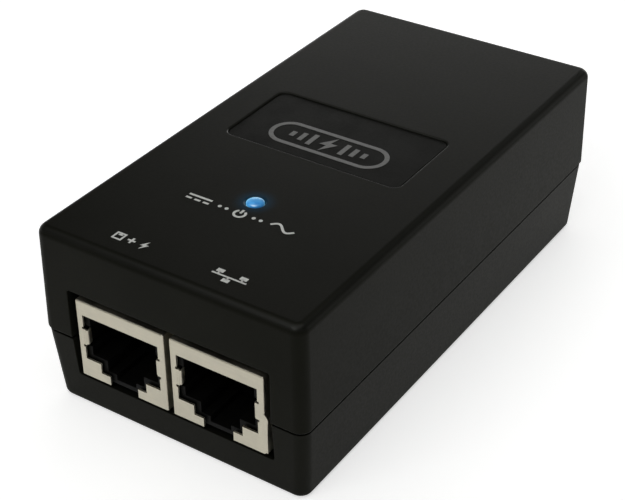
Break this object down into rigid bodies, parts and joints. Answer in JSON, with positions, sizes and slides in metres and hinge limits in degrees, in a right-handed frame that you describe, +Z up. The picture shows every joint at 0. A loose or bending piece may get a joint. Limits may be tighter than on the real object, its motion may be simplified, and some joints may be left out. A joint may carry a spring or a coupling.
{
  "type": "power over ethernet injector",
  "caption": "Compact black mains adapter that adds power to an ethernet line: shielded sockets in front, mains inlet behind, status light and shallow label pocket on top.",
  "frame": {"origin": "centre of the underside, on the surface it stands on", "axes": "+Z up through the lid, -Y out of the wall with the two ethernet sockets, +Y out of the wall with the mains inlet, +X to the right when the sockets are seen from the front"},
  "size_m": [0.0458, 0.0864, 0.0305],
  "materials": {
    "case_plastic": "fine spark-eroded grain, black ABS",
    "label_film": "smooth satin printed film",
    "light_lens": "tinted epoxy dome, lit",
    "lead_wire": "tinned wire",
    "shield_metal": "nickel-plated pressed sheet, satin",
    "socket_plastic": "moulded black PBT",
    "carrier_plastic": "moulded black PBT",
    "contact_gold": "gold-flashed phosphor bronze",
    "screw_steel": "zinc plated",
    "inlet_plastic": "moulded black nylon",
    "inlet_pin": "nickel-plated brass",
    "board_laminate": "green solder mask",
    "dark_moulding": "epoxy moulding compound",
    "fuse_case": "brown-black thermoset",
    "thermistor_coat": "dark green dip coating",
    "yellow_box": "yellow polypropylene box",
    "ferrite": "sintered ferrite, dull dark grey",
    "enamelled_wire": "enamelled copper windings",
    "can_sleeve": "shrink sleeve over an aluminium can",
    "yellow_tape": "polyester tape over the winding",
    "bobbin_resin": "phenolic resin",
    "sink_aluminium": "mill finish sheet",
    "blue_coat": "blue epoxy dip coating"
  },
  "bodies": {
    "case": {"lower_case": "case_plastic", "upper_case": "case_plastic", "badge_label": "label_film", "case_screw_1": "screw_steel", "case_screw_2": "screw_steel", "case_screw_3": "screw_steel", "case_screw_4": "screw_steel", "status_light_lens": "light_lens", "status_light_anode_leg": "lead_wire", "status_light_cathode_leg": "lead_wire", "poe_socket_shield": "shield_metal", "poe_socket_housing": "socket_plastic", "poe_contact_carrier": "carrier_plastic", "lan_socket_shield": "shield_metal", "lan_socket_housing": "socket_plastic", "lan_contact_carrier": "carrier_plastic", "inlet_housing": "inlet_plastic", "inlet_pin_line": "inlet_pin", "inlet_pin_neutral": "inlet_pin", "inlet_pin_earth": "inlet_pin", "main_board": "board_laminate", "fuse": "fuse_case", "surge_thermistor": "thermistor_coat", "suppression_capacitor": "yellow_box", "line_choke_core": "ferrite", "line_choke_winding_1": "enamelled_wire", "line_choke_winding_2": "enamelled_wire", "bridge_rectifier": "dark_moulding", "bulk_capacitor": "can_sleeve", "transformer_core_front": "ferrite", "transformer_core_rear": "ferrite", "transformer_bobbin": "bobbin_resin", "transformer_winding": "yellow_tape", "output_diode": "dark_moulding", "heat_sink": "sink_aluminium", "controller_chip": "dark_moulding", "output_capacitor_1": "can_sleeve", "output_capacitor_2": "can_sleeve", "output_choke": "dark_moulding", "optocoupler": "dark_moulding", "safety_capacitor": "blue_coat"},
    "poe_contacts": {"poe_contact_1": "contact_gold", "poe_contact_2": "contact_gold", "poe_contact_3": "contact_gold", "poe_contact_4": "contact_gold", "poe_contact_5": "contact_gold", "poe_contact_6": "contact_gold", "poe_contact_7": "contact_gold", "poe_contact_8": "contact_gold"},
    "lan_contacts": {"lan_contact_1": "contact_gold", "lan_contact_2": "contact_gold", "lan_contact_3": "contact_gold", "lan_contact_4": "contact_gold", "lan_contact_5": "contact_gold", "lan_contact_6": "contact_gold", "lan_contact_7": "contact_gold", "lan_contact_8": "contact_gold"}
  },
  "joints": [
    {"name": "poe_contact_flex", "type": "hinge", "parent": "case", "child": "poe_contacts", "pos_m": [-0.00855, -0.04, 0.01749], "axis": [1, 0, 0], "range_deg": [0, 10]},
    {"name": "lan_contact_flex", "type": "hinge", "parent": "case", "child": "lan_contacts", "pos_m": [0.00825, -0.04, 0.01749], "axis": [1, 0, 0], "range_deg": [0, 10]}
  ]
}
